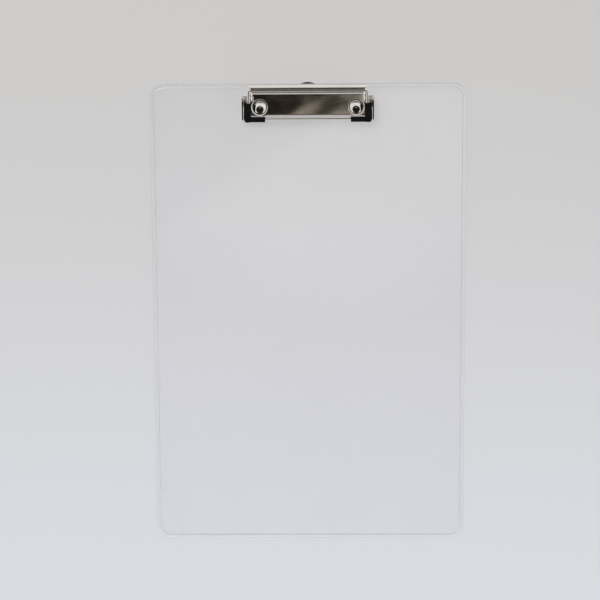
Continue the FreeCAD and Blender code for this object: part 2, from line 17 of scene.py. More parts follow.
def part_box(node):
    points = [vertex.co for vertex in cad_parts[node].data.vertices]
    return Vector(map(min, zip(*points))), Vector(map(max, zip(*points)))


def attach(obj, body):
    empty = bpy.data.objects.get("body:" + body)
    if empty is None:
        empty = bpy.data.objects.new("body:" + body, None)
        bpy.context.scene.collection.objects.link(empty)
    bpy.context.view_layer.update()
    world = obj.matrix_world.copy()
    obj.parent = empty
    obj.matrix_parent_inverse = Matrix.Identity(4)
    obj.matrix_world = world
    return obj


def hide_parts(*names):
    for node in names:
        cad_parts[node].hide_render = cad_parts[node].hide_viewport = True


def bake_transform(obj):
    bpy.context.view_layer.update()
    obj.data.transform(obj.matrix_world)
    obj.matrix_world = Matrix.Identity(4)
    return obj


bl_info = {
    "name": "Clipboard dresser",
    "version": (1, 0, 0),
    "blender": (4, 5, 0),
    "location": "3D View > Sidebar > Clipboard",
    "description": "Gives the clipboard its plastic, plating and rubber",
    "category": "Object",
}

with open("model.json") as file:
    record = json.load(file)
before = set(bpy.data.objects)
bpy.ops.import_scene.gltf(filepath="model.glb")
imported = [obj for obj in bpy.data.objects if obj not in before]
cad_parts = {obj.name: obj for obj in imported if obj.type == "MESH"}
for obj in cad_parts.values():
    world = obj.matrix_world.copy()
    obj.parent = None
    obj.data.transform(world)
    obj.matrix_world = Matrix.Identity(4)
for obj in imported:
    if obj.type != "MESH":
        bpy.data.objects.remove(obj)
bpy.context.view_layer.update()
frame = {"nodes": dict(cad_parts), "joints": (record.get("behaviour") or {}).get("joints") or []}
nodes = frame["nodes"]
hinge = next(j for j in frame["joints"] if j["type"] == "hinge")
pivot = Vector(hinge["pos_m"])
MM = 0.001

# details too small for the panel
SLEEVE_LIP = 0.4 * MM       # rounding of a sleeve's open ends
COIL_TURNS = 2.5
# the spring's knee: across from the coil's inner end, along and out from the pivot's axis
KNEE = (-0.1 * MM, -2.1 * MM, 3.4 * MM)
HOOK_PAST = 0.3 * MM        # how far the hook reaches past the arm's middle line
HOOK_BEND = 0.5 * MM
FLARE_ANGLE = math.radians(50.0)
LEVER_LEAN = math.radians(6.0)
LIP_RISE = 0.7 * MM         # the trough's lip, above the wire's middle line
TROUGH_END = 1.5 * MM       # the trough is narrower than the flap below this height
FLAP_CORNER = 1.2 * MM
EAR_RADIUS = 1.95 * MM
DOME_RIM = 0.25 * MM        # upright edge under a rivet's dome
SHANK = 2.0 * MM
CLOSED_END = (3.1 * MM, 0.4 * MM)           # radius and thickness of a rivet's closed end


# ---------------------------------------------------------------- settings


def length(name, description, default):
    return FloatProperty(name=name, description=description, default=default, min=0.0, unit="LENGTH",
                         precision=5)


def colour(name, description, default):
    return FloatVectorProperty(name=name, description=description, default=default, min=0.0, max=1.0,
                               size=3, subtype="COLOR")


class BoardSettings(bpy.types.PropertyGroup):
    tint: colour("Tint", "Colour that the clear sheet gives to what is behind it", (0.968, 0.968, 0.985))
    # painted shade: a dark base colour for the rim's upright walls, standing in for the dark edge lines that
    # refraction gives
    wall: colour("Wall tint", "Colour that light takes on through the rim's upright walls",
                 (0.18, 0.18, 0.21))
    gloss: FloatProperty(name="Roughness", description="Roughness of the moulded faces", default=0.03,
                         min=0.0, max=1.0, subtype="FACTOR")
    refraction: FloatProperty(name="Refractive index", description="Refractive index of the plastic",
                              default=1.49, min=1.0, max=2.0)


class ClipSettings(bpy.types.PropertyGroup):
    nickel: colour("Nickel", "Colour of the bright plating", (0.80, 0.78, 0.745))
    steel: colour("Spring steel", "Colour of the springs and washers", (0.62, 0.61, 0.59))
    rubber: colour("Rubber", "Colour of the corner sleeves", (0.004, 0.004, 0.0045))
    sheet: length("Sheet", "Thickness of the lever's sheet", 0.9 * MM)
    trough: length("Trough", "Radius of the trough round the wire, at the sheet's middle", 1.65 * MM)
    trough_half: length("Trough width", "Half the length of the trough", 41.0 * MM)
    flap_half: length("Flap width", "Half the length of the flap", 42.4 * MM)
    flap_rise: length("Flap", "Height of the flap above the wire's middle line, up to its flare", 6.8 * MM)
    flare: length("Flare", "Length of the flap's bent-back edge", 1.95 * MM)
    flare_bend: length("Flare bend", "Radius of the bend under the flare, at the sheet's middle", 1.05 * MM)
    edge: length("Broken edge", "Width of the small bevel along a sheet's edges", 0.14 * MM)
    wire_radius: length("Wire radius", "Radius of the jaw wire", 1.15 * MM)
    wire_bend: length("Wire bend", "Radius of the jaw wire's corners, at its middle line", 1.6 * MM)
    arm_upper: length("Arm offset at the lever", "Half the wire frame's width at its top run", 42.6 * MM)
    arm_lower: length("Arm offset at the jaw", "Half the wire frame's width at the jaw", 43.4 * MM)
    run_down: length("Top run", "From the clip's edge down to the wire's top run", 4.7 * MM)
    run_rise: length("Top run height", "The wire's top run above the board", 8.6717 * MM)
    bar_down: length("Jaw", "From the clip's edge down to the jaw", 25.0 * MM)
    bar_rise: length("Jaw height", "The jaw's middle line above the board", 2.55 * MM)
    sleeve_offset: length("Sleeve offset", "Half the distance between the sleeves' legs", 43.95 * MM)
    sleeve_drop: length("Sleeve drop", "How far a sleeve's foot sits below the jaw's middle line", 0.7 * MM)
    sleeve_start: length("Sleeve start", "From the top run down the arm to a sleeve's open end", 9.62 * MM)
    sleeve_inner: length("Sleeve's inner end", "From the middle to the end of a sleeve's foot", 31.0 * MM)
    sleeve_leg: length("Sleeve leg", "Half the width of a sleeve's leg", 2.72 * MM)
    sleeve_foot: length("Sleeve foot", "Half the width of a sleeve's foot", 1.95 * MM)
    sleeve_wall: length("Sleeve depth", "Half the depth of a sleeve, out of the wire's plane", 2.18 * MM)
    spring_wire: length("Spring wire radius", "Radius of the spring's wire", 0.33 * MM)
    coil_radius: length("Coil radius", "Radius of the spring's coil, at its middle line", 1.9 * MM)
    coil_pitch: length("Coil pitch", "From one turn of the coil to the next", 0.7 * MM)
    coil_inner: length("Coil offset", "From the middle to the coil's inner end", 44.45 * MM)
    web_leg: length("Spring leg", "Length of the leg that rests on the base plate", 4.0 * MM)
    dome_radius: length("Rivet dome", "Radius of a rivet's dome", 4.8 * MM)
    dome_rise: length("Rivet dome height", "Height of a rivet's dome above the seat", 1.6 * MM)
    sides: IntProperty(name="Sides", description="Facets round a wire or sleeve", default=40, min=12, max=128)


class StageSettings(bpy.types.PropertyGroup):
    # painted light falloff across the floor: the near colour is its lighter end, the far colour its darker
    # end
    floor_near_painted_light: colour("Floor, near", "Colour of the floor on the user's side", (0.72, 0.735, 0.785))
    floor_far_painted_shade: colour("Floor, far", "Colour of the floor beyond the clip", (0.595, 0.585, 0.575))
    backdrop: colour("Backdrop", "Colour of what is seen behind the floor", (0.60, 0.60, 0.61))
    glow: FloatProperty(name="Even share", description="Share of the floor shown unshaded",
                        default=0.78, min=0.0, max=1.0, subtype="FACTOR")
    lamp: FloatProperty(name="Lamp power", description="Power of the main softbox", default=18.0, min=0.0,
                        unit="POWER")
    world: FloatProperty(name="Sky strength", description="Strength of the sky's even light",
                         default=0.42, min=0.0)
    focal: FloatProperty(name="Focal length", description="Focal length of the camera on a 36 mm sensor",
                         default=99.2, min=10.0, unit="CAMERA")


# ---------------------------------------------------------------- shader maths


class Socket:
    """A shader socket in sums: operators on values add Math nodes."""

    def __init__(self, graph, link):
        self.graph, self.link = graph, link

    def maths(self, operation, *others):
        return self.graph.add("ShaderNodeMath", {"operation": operation}, *[self, *others])

    def __add__(self, other):
        return self.maths("ADD", other)

    __radd__ = __add__

    def __sub__(self, other):
        return self.maths("SUBTRACT", other)

    def __rsub__(self, other):
        return self.graph.add("ShaderNodeMath", {"operation": "SUBTRACT"}, other, self)

    def __mul__(self, other):
        return self.maths("MULTIPLY", other)

    __rmul__ = __mul__

    def step(self, low, high):
        """0 below low, 1 above high and smooth between."""
        return self.graph.add("ShaderNodeMapRange", {"interpolation_type": "SMOOTHSTEP", "clamp": True},
                              self, low, high, 0.0, 1.0)


class Graph:
    """The node tree of a material or the world."""

    def __init__(self, owner):
        owner.use_nodes = True
        self.tree = owner.node_tree
        self.tree.nodes.clear()

    def add(self, kind, settings=None, *values, out=0, **named):
        """One node: its settings first, then the values or links of its sockets, in order or by name."""
        node = self.tree.nodes.new(kind)
        for key, value in (settings or {}).items():
            setattr(node, key, value)
        sockets = [s for s in node.inputs if s.enabled]
        for key, value in [*zip(sockets, values), *((node.inputs[k], v) for k, v in named.items())]:
            if isinstance(value, Socket):
                self.tree.links.new(value.link, key)
            elif value is not None:
                key.default_value = value
        if isinstance(out, str):
            return Socket(self, node.outputs[out])
        live = [s for s in node.outputs if s.enabled]
        return Socket(self, live[out])

    def place(self):
        return self.add("ShaderNodeTexCoord", out="Object")

    def stretched(self, scale, turn=(0, 0, 0)):
        """Object coordinates, scaled along each axis."""
        return self.add("ShaderNodeMapping", {}, Vector=self.place(), Scale=scale, Rotation=turn)

    def noise(self, where, scale, detail=2.0, roughness=0.5):
        return self.add("ShaderNodeTexNoise", {}, Vector=where, Scale=scale, Detail=detail,
                        Roughness=roughness, out="Fac")

    def mix(self, factor, a, b):
        return self.add("ShaderNodeMix", {"data_type": "RGBA", "clamp_factor": True}, factor, a, b)

    def bump(self, height, strength, distance):
        return self.add("ShaderNodeBump", {}, Strength=strength, Distance=distance, Height=height)

    def finish(self, shader, kind="ShaderNodeOutputMaterial"):
        output = self.tree.nodes.new(kind)
        self.tree.links.new(shader.link, output.inputs["Surface"])


def rgba(shade, scale=1.0):
    return (shade[0] * scale, shade[1] * scale, shade[2] * scale, 1.0)


def new_material(name):
    material = bpy.data.materials.new(name)
    return material, Graph(material)


def clear_plastic(settings):
    """Moulded clear sheet: a faint flow ripple and fine scuffs, and painted shade on the rim's upright walls.
    Light passes it on the way to the floor.
    """
    material, g = new_material("Clear moulded plastic")
    ripple = g.noise(g.stretched((1.0, 0.4, 1.0)), 14.0, 1.0)
    scuffs = g.noise(g.stretched((1.0, 18.0, 1.0), (0, 0, 0.5)), 120.0, 2.0)
    rough = settings.gloss + 0.05 * scuffs.step(0.62, 0.8)
    facing = g.add("ShaderNodeTexCoord", out="Normal")
    upright = g.add("ShaderNodeSeparateXYZ", {}, facing, out="Z")
    # painted shade: faces that stand upright take the dark wall colour, which draws dark lines along the
    # rim's edges
    wall = 1.0 - (upright * upright).step(0.05, 0.6)
    shader = g.add("ShaderNodeBsdfPrincipled", {}, **{
        "Base Color": g.mix(wall, g.mix(ripple, rgba(settings.tint), rgba(settings.tint, 0.99)),
                            rgba(settings.wall)),
        "Roughness": rough, "IOR": settings.refraction, "Transmission Weight": 1.0,
        "Normal": g.bump(ripple, 0.01, 0.001)})
    shadow = g.add("ShaderNodeLightPath", out="Is Shadow Ray")
    g.finish(g.add("ShaderNodeMixShader", {}, shadow * 0.93, shader, g.add("ShaderNodeBsdfTransparent")))
    return material


def plating(name, shade, rough, brush=(1.0, 1.0, 1.0), ripple=0.0):
    """Bright nickel: cloudiness, fine polishing lines, stray scratches and a slow ripple of the sheet."""
    material, g = new_material(name)
    cloud = g.noise(g.place(), 60.0, 3.0)
    lines = g.noise(g.stretched(brush), 900.0, 2.0)
    wave = g.noise(g.place(), 24.0, 1.0)
    scratch = g.noise(g.stretched((0.2, 6.0, 1.0), (0, 0, 0.3)), 500.0, 1.0).step(0.66, 0.74)
    fine = g.bump(lines * 0.3 + cloud * 0.4, 0.02, 0.0002)
    shader = g.add("ShaderNodeBsdfPrincipled", {}, **{
        "Base Color": g.mix(cloud.step(0.3, 0.7), rgba(shade), rgba(shade, 0.94)),
        "Metallic": 1.0,
        "Roughness": rough + 0.04 * cloud.step(0.45, 0.75) + 0.06 * scratch,
        "Normal": g.add("ShaderNodeBump", {}, Strength=1.0, Distance=ripple, Height=wave, Normal=fine)
        if ripple else fine})
    g.finish(shader)
    return material


def satin_steel(shade):
    """Bare spring steel: drawn along its length, slightly uneven."""
    material, g = new_material("Satin spring steel")
    streak = g.noise(g.stretched((2.0, 0.5, 2.0)), 700.0, 3.0)
    shader = g.add("ShaderNodeBsdfPrincipled", {}, **{
        "Base Color": g.mix(streak, rgba(shade), rgba(shade, 0.82)),
        "Metallic": 1.0, "Roughness": 0.16 + 0.14 * streak,
        "Normal": g.bump(streak, 0.15, 0.0002)})
    g.finish(shader)
    return material


def black_rubber(shade):
    """Moulded rubber: fine grain, dusty where it is high."""
    material, g = new_material("Black moulded rubber")
    grain = g.noise(g.place(), 2600.0, 2.0)
    dust = g.noise(g.place(), 240.0, 3.0)
    shader = g.add("ShaderNodeBsdfPrincipled", {}, **{
        "Base Color": g.mix(dust.step(0.45, 0.8), rgba(shade), rgba([c + 0.004 for c in shade])),
        "Roughness": 0.42 + 0.16 * dust, "Specular IOR Level": 0.08,
        "Normal": g.bump(grain, 0.25, 0.0001)})
    g.finish(shader)
    return material


_finishes = {}


def finish_for(key):
    """One material per finish, made the first time that it is asked for."""
    clip = bpy.context.scene.clipboard_clip
    makers = {
        "nickel": lambda: plating("Bright nickel sheet", clip.nickel, 0.05, (1.0, 0.5, 1.0), 0.0004),
        "wire": lambda: plating("Bright nickel wire", clip.nickel, 0.07),
        "rivet": lambda: plating("Bright nickel rivet", clip.nickel, 0.08),
        "steel": lambda: satin_steel(clip.steel),
        "rubber": lambda: black_rubber(clip.rubber),
    }
    if key not in _finishes:
        _finishes[key] = makers[key]()
    return _finishes[key]


# ---------------------------------------------------------------- surfaces


def unit(vectors):
    return vectors / np.linalg.norm(vectors, axis=-1, keepdims=True)


def datum():
    """The middle of the clip's edge of the board, on the writing face."""
    _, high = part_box("board")
    return np.array([0.0, high.y, high.z])


def add_piece(name, mesh, material, stands_for, body=None):
    """Link a finished mesh, hide the CAD node that it stands for, and parent it to the empty of the body that
    it moves with.
    """
    mesh.materials.clear()
    mesh.materials.append(material)
    piece = bpy.data.objects.new(name, mesh)
    bpy.context.scene.collection.objects.link(piece)
    if body:
        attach(piece, body)
    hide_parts(stands_for)
    return piece


def grid_mesh(name, points, along=False):
    """A closed skin over a grid of points, rows by columns by 3.

    Each face joins four neighbours. The columns close into rings; the rows
    close too when along is true, and otherwise end in poles.
    """
    rows, columns, _ = points.shape
    i, j = np.meshgrid(np.arange(rows if along else rows - 1), np.arange(columns), indexing="ij")
    i2, j2 = (i + 1) % rows, (j + 1) % columns
    faces = np.stack([i * columns + j, i * columns + j2, i2 * columns + j2, i2 * columns + j], -1)
    faces = faces.reshape(-1, 4)
    mesh = bpy.data.meshes.new(name)
    mesh.from_pydata(points.reshape(-1, 3).tolist(), [], faces.tolist())
    work = bmesh.new()
    work.from_mesh(mesh)
    bmesh.ops.remove_doubles(work, verts=work.verts, dist=2e-7)
    bmesh.ops.recalc_face_normals(work, faces=work.faces)
    work.to_mesh(mesh)
    work.free()
    mesh.shade_smooth()
    return mesh


def rounded(corners, radius, steps=10, closed=False):
    """A line through corners, each rounded by an arc that is tangent to both of its runs.

    With the turn t at a corner, the arc's middle is radius / cos(t / 2) along
    the corner's bisector, and a point at the share s of the arc is the middle
    plus (sin((1 - s) t) a + sin(s t) b) / sin(t), a and b being its two spokes.
    """
    corners, radius = np.asarray(corners, float), np.reshape(radius, (-1, 1))
    if closed:
        before, here, after = np.roll(corners, 1, 0), corners, np.roll(corners, -1, 0)
    else:
        before, here, after = corners[:-2], corners[1:-1], corners[2:]
    u, v = unit(before - here), unit(after - here)
    turn = math.pi - np.arccos(np.clip((u * v).sum(-1), -1.0, 1.0))[:, None]
    middle = here + unit(u + v) * radius / np.cos(turn / 2)
    reach = radius * np.tan(turn / 2)
    a, b = here + u * reach - middle, here + v * reach - middle
    s, t = np.linspace(0, 1, steps)[None, :, None], turn[:, None]
    arcs = middle[:, None] + (np.sin((1 - s) * t) * a[:, None] + np.sin(s * t) * b[:, None]) / np.sin(t)
    path = arcs.reshape(-1, corners.shape[1])
    return path if closed else np.vstack([corners[:1], path, corners[-1:]])


def tube(path, radius, sides, across, closed=False):
    """A round wire along a path.

    A ring's point is the path's point plus radius (cos a p + sin a q), where p
    is square to the path and to the direction across, and q to both. An open
    wire ends in rings that shrink to a pole.
    """
    path = np.asarray(path, float)
    tangent = unit(np.roll(path, -1, 0) - np.roll(path, 1, 0) if closed else np.gradient(path, axis=0))
    p = unit(np.cross(tangent, np.asarray(across, float)))
    q = np.cross(tangent, p)
    size = np.full(len(path), radius)
    if not closed:
        bow = np.linspace(0, math.pi / 2, 5)[:-1]
        cap = 0.4 * radius * np.cos(bow)[:, None]
        path = np.vstack([path[:1] - tangent[:1] * cap, path, (path[-1:] + tangent[-1:] * cap)[::-1]])
        p, q = (np.vstack([np.repeat(x[:1], 4, 0), x, np.repeat(x[-1:], 4, 0)]) for x in (p, q))
        size = np.concatenate([radius * np.sin(bow), size, radius * np.sin(bow)[::-1]])
    a = np.linspace(0, math.tau, sides, endpoint=False)[None, :, None]
    return path[:, None] + (np.cos(a) * p[:, None] + np.sin(a) * q[:, None]) * size[:, None, None]


def turned(profile, sides, centre):
    """A profile of (radius, height) turned once about an upright axis through the centre."""
    a = np.linspace(0, math.tau, sides, endpoint=False)
    r, z = profile[:, :1], profile[:, 1:]
    return np.stack([r * np.cos(a), r * np.sin(a), z + 0 * a], -1) + np.asarray(centre)


def wire_frame(clip):
    """The wire frame's upper middle, its way down to the jaw, the way out of its plane, and its length."""
    edge = datum()
    start = edge + [0.0, -clip.run_down, clip.run_rise]
    jaw = edge + [0.0, -clip.bar_down, clip.bar_rise]
    down = unit(jaw - start)
    return start, down, np.cross(down, [1.0, 0.0, 0.0]), np.linalg.norm(jaw - start)


def on_wire(clip, points):
    """Points (across, down the frame, out of its plane) put where the frame slopes."""
    start, down, out, _ = wire_frame(clip)
    points = np.asarray(points, float)
    across = np.array([1.0, 0.0, 0.0])
    return start + points[..., :1] * across + points[..., 1:2] * down + points[..., 2:] * out


def sleeve_points(clip):
    """The right-hand sleeve: an oval tube that turns a square corner round the jaw's end.

    At every row the section's point is the inner line's point plus
    h f (1 + cos a) outwards and d sin a out of the plane, h being half the
    width and d half the depth. Round the corner the outward way swings from
    across to down by an angle b, with f = (cos^4 b + sin^4 b)^(-1/4), which
    fills the corner out. Each end rounds over a small lip and closes on the
    wire.
    """
    _, _, _, long = wire_frame(clip)
    heel = long + clip.sleeve_drop
    leg, foot, wall, lip = clip.sleeve_leg, clip.sleeve_foot, clip.sleeve_wall, SLEEVE_LIP
    splay = (clip.arm_lower - clip.arm_upper) / long
    ends = np.linspace(0, math.pi / 2, 6)
    inner = np.array([clip.sleeve_offset - leg, heel - foot])
    # rows of (inner line across, inner line down, swing, half width, half depth, fill)
    lips, back = lip * (1 - np.sin(ends)), lip * (1 - np.cos(ends))
    zero = 0 * ends
    top = np.stack([clip.sleeve_offset - leg + lips, clip.sleeve_start + back, zero, leg - lips, wall - lips,
                    zero + 1], -1)
    v = np.linspace(clip.sleeve_start + lip, inner[1], 14)[1:]
    one = np.ones_like(v)
    down_leg = np.stack([inner[0] * one, v, 0 * one, leg * one, wall * one, one], -1)
    b = np.linspace(0, math.pi / 2, 18)[1:]
    share = b / (math.pi / 2)
    share = share * share * (3 - 2 * share)
    turn = np.stack([inner[0] + 0 * b, inner[1] + 0 * b, b, leg + (foot - leg) * share, wall + 0 * b,
                     (np.cos(b) ** 4 + np.sin(b) ** 4) ** -0.25], -1)
    u = np.linspace(inner[0], clip.sleeve_inner + lip, 14)[1:]
    one = np.ones_like(u)
    along_foot = np.stack([u, inner[1] * one, one * math.pi / 2, foot * one, wall * one, one], -1)
    tip = np.stack([clip.sleeve_inner + back, heel - foot + lips, zero + math.pi / 2, foot - lips,
                    wall - lips, zero + 1], -1)[::-1]
    rows = np.vstack([top, down_leg, turn, along_foot, tip])
    across, downward, swing, half, depth, fill = (rows[:, i:i + 1] for i in range(6))
    a = np.linspace(0, math.tau, clip.sides, endpoint=False)[None, :]
    reach = half * fill * (1 + np.cos(a))
    points = np.stack([across + reach * np.cos(swing), downward + reach * np.sin(swing),
                       depth * np.sin(a)], -1)
    points[..., 0] -= (heel - points[..., 1]) * splay
    first = np.broadcast_to([clip.arm_lower - (long - clip.sleeve_start) * splay, clip.sleeve_start, 0.0],
                            points[:1].shape)
    last = np.broadcast_to([clip.sleeve_inner, long, 0.0], points[:1].shape)
    return on_wire(clip, np.concatenate([first, points, last]))


def spring_points(clip):
    """The right-hand spring's wire: a leg along the base plate, a coil and a hook over the wire's arm.

    About the pivot's axis the coil's point at the angle t is
    (inner + pitch (turns - t / tau), radius sin t, -radius cos t).
    """
    t = np.linspace(0, COIL_TURNS * math.tau, 100)
    r, pitch = clip.coil_radius, clip.coil_pitch
    coil = np.stack([clip.coil_inner + pitch * (COIL_TURNS - t / math.tau),
                     r * np.sin(t), -r * np.cos(t)], -1)
    first, last = unit(coil[1] - coil[0]), unit(coil[-1] - coil[-2])
    inner = coil[-1]
    knee = np.array([inner[0] + KNEE[0], *KNEE[1:]])
    tip = [clip.arm_upper - HOOK_PAST, *KNEE[1:]]
    hook = rounded([inner, inner + last * 2 * clip.spring_wire, knee, tip], HOOK_BEND, 8)
    path = np.vstack([coil[:1] - first * clip.web_leg, coil, hook[1:]])
    return tube(path + np.array(pivot), clip.spring_wire, 14, (1.0, 0.7, 0.7))


def lever_points(clip):
    """The middle surface of the lever: flare, flap, trough round the wire and lip.

    The section runs from the flare's edge down the flap, half round the wire and
    up to the lip, each bend an arc, and leans back about the wire. A point's
    place across is its share of the half width, which is less at the trough
    and, by r - sqrt(r^2 - (r - d)^2), at the distance d < r from the flare's edge.
    """
    r, flare, lean = clip.trough, FLARE_ANGLE, LEVER_LEAN
    knee = clip.flap_rise + clip.flare_bend * math.tan(flare / 2)
    long = clip.flare + clip.flare_bend * math.tan(flare / 2)
    edge = np.array([r + long * math.sin(flare), knee + long * math.cos(flare)])
    section = rounded([edge, (r, knee), (r, -r), (-r, -r), (-r, LIP_RISE)], [clip.flare_bend, r, r], 12)
    steps = np.array([0.0, 0.06, 0.14, 0.24, 0.36, 0.5])[:, None]
    section = np.vstack([edge + (section[1] - edge) * steps, section[1:]])
    section = section[np.append(True, np.linalg.norm(np.diff(section, axis=0), axis=1) > 1e-6)]
    to_edge = np.linalg.norm(section - edge, axis=1)
    cut = FLAP_CORNER - np.sqrt(FLAP_CORNER**2 - np.maximum(FLAP_CORNER - to_edge, 0) ** 2)
    half = np.where(section[:, 1] > TROUGH_END, clip.flap_half - cut, clip.trough_half)
    share = np.linspace(-1, 1, 41)
    y, z = section[:, :1], section[:, 1:]
    leant = (y * math.cos(lean) + z * math.sin(lean), z * math.cos(lean) - y * math.sin(lean))
    points = np.stack([half[:, None] * share, leant[0] + 0 * share, leant[1] + 0 * share], -1)
    return points + datum() + [0.0, -clip.run_down, clip.run_rise]


def ear_points(clip, across):
    """A lever ear: a flat plate round the wire's top run and the pivot.

    Its outline is two half circles about the two axes, joined by straights; each ring is
    the outline drawn in towards its middle, and the first and last are poles.
    """
    start = datum() + [0.0, -clip.run_down, clip.run_rise]
    way = np.array(pivot) - start
    way[0] = 0.0
    along = unit(way)
    aside = np.cross([1.0, 0.0, 0.0], along)
    a = np.linspace(0, math.tau, 60, endpoint=False)[:, None]
    radius, half = EAR_RADIUS, clip.sheet / 2
    shift = np.where(np.cos(a) > 0, np.linalg.norm(way) / 2, -np.linalg.norm(way) / 2)
    rim = along * (radius * np.cos(a) + shift) + aside * radius * np.sin(a)
    size = np.array([0, 0.96, 1, 1, 0.96, 0])[:, None, None]
    deep = np.array([half, half, half * 0.85, -half * 0.85, -half, -half])[:, None, None]
    middle = (start + way / 2) * [0.0, 1.0, 1.0] + [across, 0.0, 0.0]
    return middle + rim * size + deep * np.array([1.0, 0.0, 0.0])


def rivet_profile(clip):
    """Half of a rivet's outline: closed end, shank, and a dome that is part of a sphere.

    The dome's height at the radius r is sqrt(R^2 - r^2) - sqrt(R^2 - a^2), with
    R = (a^2 + h^2) / 2h for a dome of radius a and height h.
    """
    low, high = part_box("rivet_right")
    seat, a = high.z - clip.dome_rise, clip.dome_radius
    h = clip.dome_rise - DOME_RIM
    big = (a * a + h * h) / (2 * h)
    r = np.linspace(a * 0.94, 0, 24)
    dome = np.stack([r, seat + DOME_RIM + np.sqrt(big * big - r * r) - math.sqrt(big * big - a * a)], -1)
    closed, under = CLOSED_END[0], low.z + CLOSED_END[1]
    corners = [(0.0, low.z), (closed - 0.3 * MM, low.z), (closed, under), (SHANK, under), (SHANK, seat),
               (a, seat), (a, seat + DOME_RIM), tuple(dome[0])]
    return np.vstack([rounded(corners, 0.06 * MM, 4), dome[1:]])


def softened(node, name, body, material, edge, crease=34.0):
    """A copy of a CAD node: doubled points merged, flats joined, every edge broken by a small bevel."""
    work = bmesh.new()
    work.from_mesh(nodes[node].data)
    bmesh.ops.remove_doubles(work, verts=work.verts, dist=1e-6)
    bmesh.ops.dissolve_limit(work, angle_limit=math.radians(0.5), verts=work.verts, edges=work.edges)
    mesh = bpy.data.meshes.new(name)
    work.to_mesh(mesh)
    work.free()
    mesh.shade_smooth()
    mesh.set_sharp_from_angle(angle=math.radians(crease))
    piece = add_piece(name, mesh, material, node, body)
    bevel = piece.modifiers.new("broken edges", "BEVEL")
    bevel.width, bevel.segments, bevel.limit_method = edge, 2, "ANGLE"
    bevel.angle_limit, bevel.harden_normals = math.radians(crease), True
    even = piece.modifiers.new("flat faces stay flat", "WEIGHTED_NORMAL")
    even.keep_sharp = True
    return piece


# ---------------------------------------------------------------- operators


class DressOperator(bpy.types.Operator):
    """Base of the dressing steps"""
    bl_options = {"REGISTER", "UNDO"}

    @property
    def clip(self):
        return bpy.context.scene.clipboard_clip


class CLIPBOARD_OT_board(DressOperator):
    """Give the moulded board its clear plastic and soften its edges"""
    bl_idname = "clipboard.board"
    bl_label = "Board"

    def execute(self, context):
        softened("board", "moulded_board", "board", clear_plastic(context.scene.clipboard_board),
                 0.15 * MM, 30.0)
        return {"FINISHED"}


class CLIPBOARD_OT_sheet_metal(DressOperator):
    """Plate the base plate and the hanging tab, and break their edges"""
    bl_idname = "clipboard.sheet_metal"
    bl_label = "Sheet metal"

    def execute(self, context):
        for node, name, body in (("clip_base_plate", "pressed_base_plate", "board"),
                                 ("hanging_tab", "slotted_tab", "tab")):
            softened(node, name, body, finish_for("nickel"), self.clip.edge)
        return {"FINISHED"}


class CLIPBOARD_OT_lever(DressOperator):
    """Roll the lever from one sheet, with an ear at each end"""
    bl_idname = "clipboard.lever"
    bl_label = "Lever"

    def execute(self, context):
        clip = self.clip
        points = lever_points(clip)
        rows, columns, _ = points.shape
        i, j = np.meshgrid(np.arange(rows - 1), np.arange(columns - 1), indexing="ij")
        start = (i * columns + j).ravel()
        faces = np.stack([start, start + 1, start + columns + 1, start + columns], -1)
        mesh = bpy.data.meshes.new("rolled_lever")
        mesh.from_pydata(points.reshape(-1, 3).tolist(), [], faces.tolist())
        mesh.shade_smooth()
        piece = add_piece("rolled_lever", mesh, finish_for("nickel"), "lever_plate", "lever")
        wall = piece.modifiers.new("sheet", "SOLIDIFY")
        wall.thickness, wall.offset, wall.use_even_offset = clip.sheet, 0.0, True
        bevel = piece.modifiers.new("broken edges", "BEVEL")
        bevel.width, bevel.segments, bevel.limit_method = clip.edge, 2, "ANGLE"
        bevel.angle_limit, bevel.harden_normals = math.radians(50), True
        across = clip.trough_half - clip.sheet / 2
        for side, sign in (("left", -1.0), ("right", 1.0)):
            ear = grid_mesh(f"lever_ear_{side}", ear_points(clip, sign * across))
            ear.set_sharp_from_angle(angle=math.radians(40))
            add_piece(f"lever_ear_{side}", ear, finish_for("nickel"), "lever_plate", "lever")
        return {"FINISHED"}


class CLIPBOARD_OT_fasteners(DressOperator):
    """Turn the rivets, and finish their washers and the pivot pins"""
    bl_idname = "clipboard.fasteners"
    bl_label = "Fasteners"

    def execute(self, context):
        profile = rivet_profile(self.clip)
        for side in ("left", "right"):
            low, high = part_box(f"rivet_{side}")
            middle = ((low.x + high.x) / 2, (low.y + high.y) / 2, 0.0)
            mesh = grid_mesh(f"domed_rivet_{side}", turned(profile, 72, middle))
            mesh.set_sharp_from_angle(angle=math.radians(40))
            add_piece(f"domed_rivet_{side}", mesh, finish_for("rivet"),
                      f"rivet_{side}", "board")
            softened(f"pivot_pin_{side}", f"headed_pin_{side}", "board", finish_for("rivet"),
                     self.clip.edge)
            softened(f"rivet_washer_{side}", f"punched_washer_{side}", "board", finish_for("steel"),
                     self.clip.edge * 0.6)
        return {"FINISHED"}


class CLIPBOARD_OT_jaw_wire(DressOperator):
    """Bend the jaw wire: a round section carried round a frame that widens towards the jaw"""
    bl_idname = "clipboard.jaw_wire"
    bl_label = "Jaw wire"

    def execute(self, context):
        clip = self.clip
        _, _, out, long = wire_frame(clip)
        corners = on_wire(clip, [(-clip.arm_upper, 0, 0), (clip.arm_upper, 0, 0), (clip.arm_lower, long, 0),
                                 (-clip.arm_lower, long, 0)])
        path = rounded(corners, clip.wire_bend, 14, closed=True)
        wire = tube(path, clip.wire_radius, clip.sides, out, closed=True)
        mesh = grid_mesh("bent_jaw_wire", wire, along=True)
        add_piece("bent_jaw_wire", mesh, finish_for("wire"), "jaw_wire", "lever")
        return {"FINISHED"}


